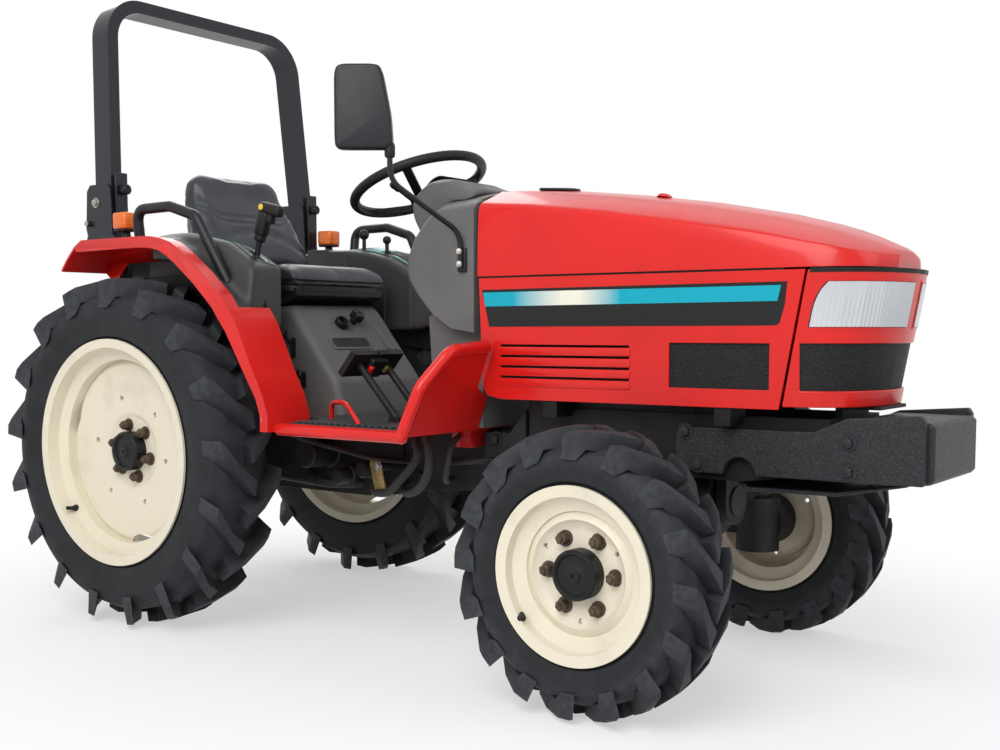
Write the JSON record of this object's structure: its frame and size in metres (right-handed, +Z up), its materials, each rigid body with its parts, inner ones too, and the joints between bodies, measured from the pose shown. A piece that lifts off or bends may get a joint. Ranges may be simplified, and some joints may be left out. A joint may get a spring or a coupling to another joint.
{
  "type": "farm tractor",
  "caption": "Compact farm tractor with tall-lug tyres, steered driven front axle, lifting hood, folding roll bar, open platform with seat, and a rear three-point hitch.",
  "frame": {"origin": "middle of the ground outline, on the ground", "axes": "+X forward, +Y to the driver's left, +Z up"},
  "size_m": [2.8894, 1.198, 1.8498],
  "materials": {
    "cast_grey": "satin",
    "frame_black": "satin",
    "grain_black": "rough",
    "red_paint": "gloss",
    "mesh_black": "matte",
    "lamp_clear": "gloss",
    "grey_plastic": "matte",
    "black_plastic": "matte",
    "rail_black": "satin",
    "amber": "gloss",
    "roll_bar_blue": "satin",
    "seat_vinyl": "satin",
    "mat_rubber": "matte",
    "cream_paint": "satin",
    "tyre_black": "matte"
  },
  "bodies": {
    "chassis": {"engine_block": "cast_grey", "transmission_case": "cast_grey", "rear_axle_housing": "cast_grey", "front_frame": "frame_black", "front_axle_beam": "cast_grey", "weight_bracket": "grain_black", "front_weight": "grain_black", "side_panel_right": "red_paint", "side_panel_left": "red_paint", "nose_panel": "red_paint", "grilles": "mesh_black", "headlamps": "lamp_clear", "dash_cowl": "grey_plastic", "instrument_panel": "grey_plastic", "steering_column": "black_plastic", "fender_right": "red_paint", "fender_left": "red_paint", "consoles": "grey_plastic", "grab_rails": "rail_black", "turn_signals": "amber", "rops_base": "roll_bar_blue", "seat_base": "black_plastic", "seat_cushion": "seat_vinyl", "seat_back": "seat_vinyl", "tunnel_cover": "grey_plastic", "steps": "red_paint", "floor_mats": "mat_rubber", "pedals": "frame_black", "levers": "black_plastic", "side_mirror": "black_plastic", "hitch_bracket": "frame_black"},
    "hood": {"hood": "red_paint"},
    "rops_hoop": {"rops_hoop": "roll_bar_blue"},
    "steering_wheel": {"steering_wheel": "black_plastic"},
    "knuckle_left": {"knuckle_left": "cast_grey"},
    "knuckle_right": {"knuckle_right": "cast_grey"},
    "tie_rod": {"tie_rod": "frame_black"},
    "wheel_front_left": {"front_rim_left": "cream_paint", "front_tyre_left": "tyre_black"},
    "wheel_front_right": {"front_rim_right": "cream_paint", "front_tyre_right": "tyre_black"},
    "wheel_rear_left": {"rear_rim_left": "cream_paint", "rear_tyre_left": "tyre_black"},
    "wheel_rear_right": {"rear_rim_right": "cream_paint", "rear_tyre_right": "tyre_black"},
    "lower_links": {"lower_links": "frame_black"},
    "lift_arms": {"lift_arms": "frame_black"},
    "lift_rods": {"lift_rods": "frame_black"}
  },
  "joints": [
    {"name": "wheel_rear_left_spin", "type": "hinge", "parent": "chassis", "child": "wheel_rear_left", "pos_m": [-0.72627, 0.492, 0.498], "axis": [0, 1, 0], "continuous": true},
    {"name": "wheel_rear_right_spin", "type": "hinge", "parent": "chassis", "child": "wheel_rear_right", "pos_m": [-0.72627, -0.492, 0.498], "axis": [0, 1, 0], "continuous": true},
    {"name": "steer_left", "type": "hinge", "parent": "chassis", "child": "knuckle_left", "pos_m": [0.80873, 0.385, 0.321], "axis": [0, 0, 1], "range_deg": [-40, 40]},
    {"name": "steer_right", "type": "hinge", "parent": "chassis", "child": "knuckle_right", "pos_m": [0.80873, -0.385, 0.321], "axis": [0, 0, 1], "range_deg": [-40, 40]},
    {"name": "tie_rod_swing", "type": "hinge", "parent": "knuckle_left", "child": "tie_rod", "pos_m": [0.67873, 0.385, 0.271], "axis": [0, 0, 1], "range_deg": [-40, 40]},
    {"name": "steering_wheel_turn", "type": "hinge", "parent": "chassis", "child": "steering_wheel", "pos_m": [-0.07427, 0, 1.257], "axis": [-0.3584, 0, 0.9336], "range_deg": [-540, 540]},
    {"name": "wheel_front_left_spin", "type": "hinge", "parent": "knuckle_left", "child": "wheel_front_left", "pos_m": [0.80873, 0.489, 0.321], "axis": [0, 1, 0], "continuous": true},
    {"name": "wheel_front_right_spin", "type": "hinge", "parent": "knuckle_right", "child": "wheel_front_right", "pos_m": [0.80873, -0.489, 0.321], "axis": [0, 1, 0], "continuous": true},
    {"name": "hood_lift", "type": "hinge", "parent": "chassis", "child": "hood", "pos_m": [0.32873, 0, 1.184], "axis": [0, -1, 0], "range_deg": [0, 50]},
    {"name": "roll_bar_fold", "type": "hinge", "parent": "chassis", "child": "rops_hoop", "pos_m": [-1.01127, 0, 1.165], "axis": [0, -1, 0], "range_deg": [0, 90]},
    {"name": "link_lift", "type": "hinge", "parent": "chassis", "child": "lower_links", "pos_m": [-0.80627, 0, 0.372], "axis": [0, 1, 0], "range_deg": [0, 38]},
    {"name": "arm_lift", "type": "hinge", "parent": "chassis", "child": "lift_arms", "pos_m": [-0.80627, 0, 0.8], "axis": [0, 1, 0], "range_deg": [0, 38]},
    {"name": "rod_swing", "type": "hinge", "parent": "lift_arms", "child": "lift_rods", "pos_m": [-1.06059, 0, 0.74594], "axis": [0, 1, 0], "range_deg": [-38, 0]}
  ],
  "couplings": [
    {"joint": "steer_right", "follows": "steer_left", "ratio": 1},
    {"joint": "tie_rod_swing", "follows": "steer_left", "ratio": -1},
    {"joint": "steering_wheel_turn", "follows": "steer_left", "ratio": 13.5},
    {"joint": "arm_lift", "follows": "link_lift", "ratio": 1},
    {"joint": "rod_swing", "follows": "link_lift", "ratio": -1}
  ]
}
